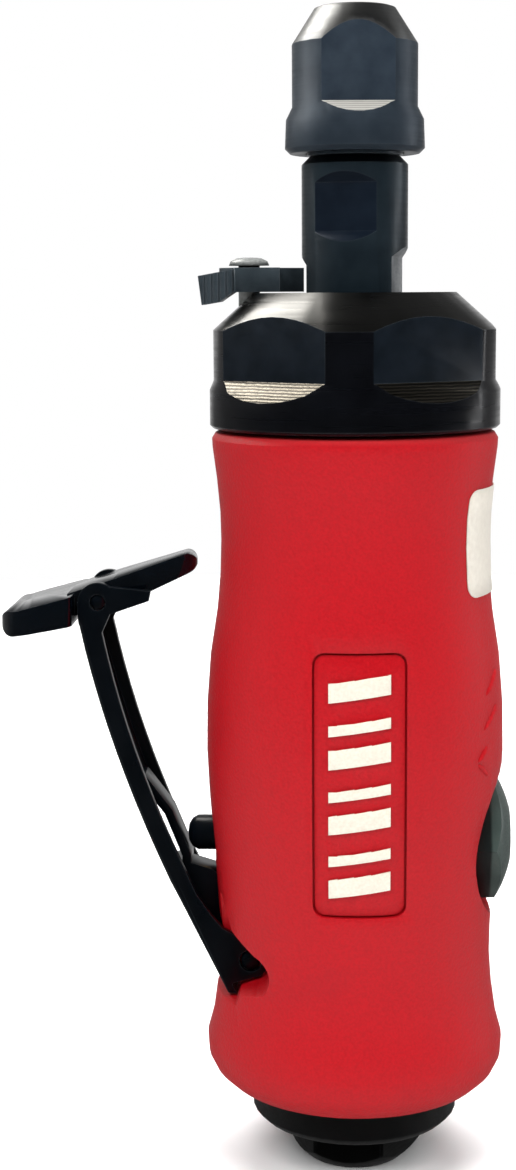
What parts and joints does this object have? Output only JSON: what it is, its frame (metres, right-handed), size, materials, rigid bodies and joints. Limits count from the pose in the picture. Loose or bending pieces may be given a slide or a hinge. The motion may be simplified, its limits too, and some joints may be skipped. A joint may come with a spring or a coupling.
{
  "type": "die grinder",
  "caption": "Pneumatic straight die grinder with a composite grip, throttle lever with safety latch, spindle lock and quarter-inch collet.",
  "frame": {"origin": "on the tool axis at the air inlet's end face", "axes": "+Z along the tool axis towards the collet, -X to the throttle lever, -Y to the badge on the front of the grip"},
  "size_m": [0.0725, 0.0432, 0.165],
  "materials": {
    "red_composite": "fine-grained moulded composite",
    "badge_cream": "raised moulded bars",
    "label_white": "printed film, blank",
    "black_anodised": "satin black anodised, machined",
    "black_oxide": "black oxide on turned steel",
    "black_lacquer": "gloss black",
    "black_plastic": "satin moulded",
    "black_rubber": "matt",
    "bright_steel": "polished",
    "ground_steel": "ground",
    "brass": "turned",
    "vane_resin": "cotton-filled phenolic resin",
    "felt": "pressed wool felt"
  },
  "bodies": {
    "housing": {"housing": "red_composite", "badge": "badge_cream", "rating_label": "label_white", "front_cap": "black_anodised", "lock_screw": "bright_steel", "front_bearing_outer_race": "bright_steel", "rear_bearing_outer_race": "bright_steel", "cylinder_liner": "ground_steel", "front_end_plate": "ground_steel", "rear_end_plate": "ground_steel", "lever_pivot_pin": "black_oxide", "valve_bush": "brass", "valve_seat": "brass", "valve_seal": "black_rubber", "valve_spring": "bright_steel", "regulator_sleeve": "brass", "inlet_bushing": "black_oxide", "inlet_screen": "bright_steel", "exhaust_ring": "black_plastic", "muffler_felt": "felt", "front_bearing_balls": "bright_steel", "rear_bearing_balls": "bright_steel", "regulator_seal": "black_rubber", "lock_spring": "bright_steel", "cylinder_dowel": "bright_steel"},
    "spindle": {"spindle": "black_oxide", "rotor": "ground_steel", "rotor_vane_1": "vane_resin", "rotor_vane_2": "vane_resin", "rotor_vane_3": "vane_resin", "rotor_vane_4": "vane_resin", "collet": "bright_steel", "front_bearing_inner_race": "bright_steel", "rear_bearing_inner_race": "bright_steel"},
    "collet_nut": {"collet_nut": "black_oxide"},
    "spindle_lock": {"spindle_lock_lever": "black_oxide"},
    "throttle_lever": {"throttle_lever": "black_lacquer", "latch_pin": "black_oxide", "latch_spring": "bright_steel"},
    "safety_latch": {"safety_latch": "black_lacquer"},
    "plunger": {"throttle_plunger": "black_lacquer"},
    "regulator": {"regulator_knob": "black_plastic"}
  },
  "joints": [
    {"name": "spindle_spin", "type": "hinge", "parent": "housing", "child": "spindle", "pos_m": [0, 0, 0.1], "axis": [0, 0, 1], "continuous": true},
    {"name": "collet_nut_turn", "type": "hinge", "parent": "spindle", "child": "collet_nut", "pos_m": [0, 0, 0.155], "axis": [0, 0, 1], "range_deg": [0, 360]},
    {"name": "spindle_lock_swing", "type": "hinge", "parent": "housing", "child": "spindle_lock", "pos_m": [-0.0148, 0, 0.128], "axis": [0, 0, -1], "range_deg": [0, 32], "stiffness_Nm_per_rad": 0.02},
    {"name": "throttle_press", "type": "hinge", "parent": "housing", "child": "throttle_lever", "pos_m": [-0.0149, 0, 0.0312], "axis": [0, 1, 0], "range_deg": [0, 6], "stiffness_Nm_per_rad": 2, "springref_deg": -8.59},
    {"name": "latch_fold", "type": "hinge", "parent": "throttle_lever", "child": "safety_latch", "pos_m": [-0.0361, 0, 0.0834], "axis": [0, 1, 0], "range_deg": [0, 100]},
    {"name": "plunger_slide", "type": "slide", "parent": "housing", "child": "plunger", "axis": [1, 0, 0], "range_m": [0, 0.0022]},
    {"name": "regulator_turn", "type": "hinge", "parent": "housing", "child": "regulator", "pos_m": [0.02, 0, 0.0483], "axis": [1, 0, 0], "range_deg": [-90, 90]}
  ],
  "couplings": [
    {"joint": "latch_fold", "follows": "throttle_press", "ratio": 16.6},
    {"joint": "plunger_slide", "follows": "throttle_press", "m_per_rad": 0.0206}
  ]
}
